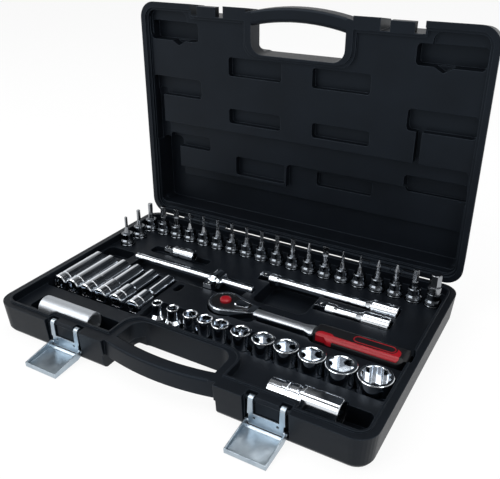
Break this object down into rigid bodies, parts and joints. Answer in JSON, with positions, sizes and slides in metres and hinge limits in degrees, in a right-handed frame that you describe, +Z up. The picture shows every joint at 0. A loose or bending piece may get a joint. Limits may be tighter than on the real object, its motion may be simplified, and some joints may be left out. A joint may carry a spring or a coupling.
{
  "type": "socket wrench set in case",
  "caption": "Socket wrench set in a hinged blow-moulded plastic case, lid open, with a ratchet, chrome sockets, extensions, a T-bar, bit sockets and two over-centre metal latches",
  "frame": {"origin": "centre of the underside of the case base", "axes": "X runs to the right along the front of the case, Y to the back towards the hinges, Z up; the lid is open at a right angle"},
  "size_m": [0.386, 0.3172, 0.2876],
  "materials": {
    "case_plastic": "textured",
    "chrome": "polished",
    "satin_chrome": "satin",
    "zinc_steel": "zinc plated",
    "pin_steel": "satin",
    "gear_steel": "machined",
    "dark_steel": "satin",
    "bit_steel": "satin",
    "red_plastic": "glossy",
    "grip_plastic": "satin",
    "black_rubber": "matte"
  },
  "bodies": {
    "case": {"case_base": "case_plastic", "hinge_pins": "pin_steel"},
    "lid": {"case_lid": "case_plastic"},
    "link_left": {"latch_link_left": "zinc_steel"},
    "cover_left": {"latch_cover_left": "zinc_steel"},
    "link_right": {"latch_link_right": "zinc_steel"},
    "cover_right": {"latch_cover_right": "zinc_steel"},
    "ratchet": {"ratchet_body": "chrome", "ratchet_cover_plate": "dark_steel", "ratchet_screws": "dark_steel", "ratchet_grip": "grip_plastic", "grip_inlay": "red_plastic"},
    "drive": {"ratchet_gear": "gear_steel", "ratchet_ball": "pin_steel"},
    "button": {"ratchet_button": "red_plastic"},
    "pawl": {"ratchet_pawl": "gear_steel", "pawl_spring": "pin_steel"},
    "lever": {"reversing_lever": "dark_steel"},
    "tbar": {"tbar_rod": "chrome"},
    "slide_head": {"tbar_head": "chrome", "tbar_ball": "pin_steel"},
    "long_extension": {"extension_long": "chrome", "extension_long_ball": "pin_steel"},
    "short_extension": {"extension_short": "chrome", "extension_short_ball": "pin_steel"},
    "adapter": {"drive_adapter": "chrome", "adapter_ball": "pin_steel"},
    "plug_16": {"plug_socket_16": "satin_chrome", "plug_insert_16": "black_rubber"},
    "plug_21": {"plug_socket_21": "chrome", "plug_insert_21": "black_rubber"},
    "deep_13": {"deep_socket_13": "chrome"},
    "deep_12": {"deep_socket_12": "chrome"},
    "deep_11": {"deep_socket_11": "chrome"},
    "deep_10": {"deep_socket_10": "chrome"},
    "deep_9": {"deep_socket_9": "chrome"},
    "deep_8": {"deep_socket_8": "chrome"},
    "socket_7": {"socket_7": "chrome"},
    "socket_8": {"socket_8": "chrome"},
    "socket_10": {"socket_10": "chrome"},
    "socket_11": {"socket_11": "chrome"},
    "socket_12": {"socket_12": "chrome"},
    "socket_13": {"socket_13": "chrome"},
    "socket_15": {"socket_15": "chrome"},
    "socket_16": {"socket_16": "chrome"},
    "socket_17": {"socket_17": "chrome"},
    "socket_19": {"socket_19": "chrome"},
    "socket_22": {"socket_22": "chrome"},
    "bit_group_hex": {"holders_hex": "chrome", "bits_hex": "bit_steel"},
    "bit_group_star": {"holders_star": "chrome", "bits_star": "bit_steel"},
    "bit_group_slotted": {"holders_slotted": "chrome", "bits_slotted": "bit_steel"},
    "bit_group_cross": {"holders_cross": "chrome", "bits_cross": "bit_steel"}
  },
  "joints": [
    {"name": "lid_hinge", "type": "hinge", "parent": "case", "child": "lid", "pos_m": [0, 0.1266, 0.032], "axis": [-1, 0, 0], "range_deg": [-90, 0]},
    {"name": "latch_link_left_swing", "type": "hinge", "parent": "case", "child": "link_left", "pos_m": [-0.106, -0.12, 0.0284], "axis": [-1, 0, 0], "range_deg": [0, 75]},
    {"name": "latch_cover_left_flip", "type": "hinge", "parent": "link_left", "child": "cover_left", "pos_m": [-0.106, -0.12275, 0.008], "axis": [1, 0, 0], "range_deg": [-93.5, 0]},
    {"name": "latch_link_right_swing", "type": "hinge", "parent": "case", "child": "link_right", "pos_m": [0.106, -0.12, 0.0284], "axis": [-1, 0, 0], "range_deg": [0, 75]},
    {"name": "latch_cover_right_flip", "type": "hinge", "parent": "link_right", "child": "cover_right", "pos_m": [0.106, -0.12275, 0.008], "axis": [1, 0, 0], "range_deg": [-93.5, 0]},
    {"name": "ratchet_lift", "type": "slide", "parent": "case", "child": "ratchet", "axis": [0, 0, 1], "range_m": [0, 0.06]},
    {"name": "drive_spin", "type": "hinge", "parent": "ratchet", "child": "drive", "pos_m": [0, -0.0115, 0.0185], "axis": [0, 0, 1], "continuous": true},
    {"name": "button_press", "type": "slide", "parent": "drive", "child": "button", "axis": [0, 0, -1], "range_m": [0, 0.0018], "stiffness_N_per_m": 300},
    {"name": "lever_turn", "type": "hinge", "parent": "ratchet", "child": "lever", "pos_m": [0.0215, -0.0115, 0.032], "axis": [0, 0, 1], "range_deg": [-15, 15]},
    {"name": "pawl_shift", "type": "hinge", "parent": "ratchet", "child": "pawl", "pos_m": [0, -0.0115, 0.024], "axis": [0, 0, 1], "range_deg": [-3, 3]},
    {"name": "tbar_lift", "type": "slide", "parent": "case", "child": "tbar", "axis": [0, 0, 1], "range_m": [0, 0.06]},
    {"name": "slide_head_travel", "type": "slide", "parent": "tbar", "child": "slide_head", "axis": [1, 0, 0], "range_m": [-0.092, 0.029]},
    {"name": "long_extension_lift", "type": "slide", "parent": "case", "child": "long_extension", "axis": [0, 0, 1], "range_m": [0, 0.06]},
    {"name": "short_extension_lift", "type": "slide", "parent": "case", "child": "short_extension", "axis": [0, 0, 1], "range_m": [0, 0.06]},
    {"name": "adapter_lift", "type": "slide", "parent": "case", "child": "adapter", "axis": [0, 0, 1], "range_m": [0, 0.06]},
    {"name": "plug_16_lift", "type": "slide", "parent": "case", "child": "plug_16", "axis": [0, 0, 1], "range_m": [0, 0.06]},
    {"name": "plug_21_lift", "type": "slide", "parent": "case", "child": "plug_21", "axis": [0, 0, 1], "range_m": [0, 0.06]},
    {"name": "deep_13_lift", "type": "slide", "parent": "case", "child": "deep_13", "axis": [0, 0, 1], "range_m": [0, 0.05]},
    {"name": "deep_12_lift", "type": "slide", "parent": "case", "child": "deep_12", "axis": [0, 0, 1], "range_m": [0, 0.05]},
    {"name": "deep_11_lift", "type": "slide", "parent": "case", "child": "deep_11", "axis": [0, 0, 1], "range_m": [0, 0.05]},
    {"name": "deep_10_lift", "type": "slide", "parent": "case", "child": "deep_10", "axis": [0, 0, 1], "range_m": [0, 0.05]},
    {"name": "deep_9_lift", "type": "slide", "parent": "case", "child": "deep_9", "axis": [0, 0, 1], "range_m": [0, 0.05]},
    {"name": "deep_8_lift", "type": "slide", "parent": "case", "child": "deep_8", "axis": [0, 0, 1], "range_m": [0, 0.05]},
    {"name": "socket_7_lift", "type": "slide", "parent": "case", "child": "socket_7", "axis": [0, 0, 1], "range_m": [0, 0.05]},
    {"name": "socket_8_lift", "type": "slide", "parent": "case", "child": "socket_8", "axis": [0, 0, 1], "range_m": [0, 0.05]},
    {"name": "socket_10_lift", "type": "slide", "parent": "case", "child": "socket_10", "axis": [0, 0, 1], "range_m": [0, 0.05]},
    {"name": "socket_11_lift", "type": "slide", "parent": "case", "child": "socket_11", "axis": [0, 0, 1], "range_m": [0, 0.05]},
    {"name": "socket_12_lift", "type": "slide", "parent": "case", "child": "socket_12", "axis": [0, 0, 1], "range_m": [0, 0.05]},
    {"name": "socket_13_lift", "type": "slide", "parent": "case", "child": "socket_13", "axis": [0, 0, 1], "range_m": [0, 0.05]},
    {"name": "socket_15_lift", "type": "slide", "parent": "case", "child": "socket_15", "axis": [0, 0, 1], "range_m": [0, 0.05]},
    {"name": "socket_16_lift", "type": "slide", "parent": "case", "child": "socket_16", "axis": [0, 0, 1], "range_m": [0, 0.05]},
    {"name": "socket_17_lift", "type": "slide", "parent": "case", "child": "socket_17", "axis": [0, 0, 1], "range_m": [0, 0.05]},
    {"name": "socket_19_lift", "type": "slide", "parent": "case", "child": "socket_19", "axis": [0, 0, 1], "range_m": [0, 0.05]},
    {"name": "socket_22_lift", "type": "slide", "parent": "case", "child": "socket_22", "axis": [0, 0, 1], "range_m": [0, 0.05]},
    {"name": "bit_group_hex_lift", "type": "slide", "parent": "case", "child": "bit_group_hex", "axis": [0, 0, 1], "range_m": [0, 0.05]},
    {"name": "bit_group_star_lift", "type": "slide", "parent": "case", "child": "bit_group_star", "axis": [0, 0, 1], "range_m": [0, 0.05]},
    {"name": "bit_group_slotted_lift", "type": "slide", "parent": "case", "child": "bit_group_slotted", "axis": [0, 0, 1], "range_m": [0, 0.05]},
    {"name": "bit_group_cross_lift", "type": "slide", "parent": "case", "child": "bit_group_cross", "axis": [0, 0, 1], "range_m": [0, 0.05]}
  ],
  "couplings": [
    {"joint": "pawl_shift", "follows": "lever_turn", "ratio": -0.2}
  ]
}
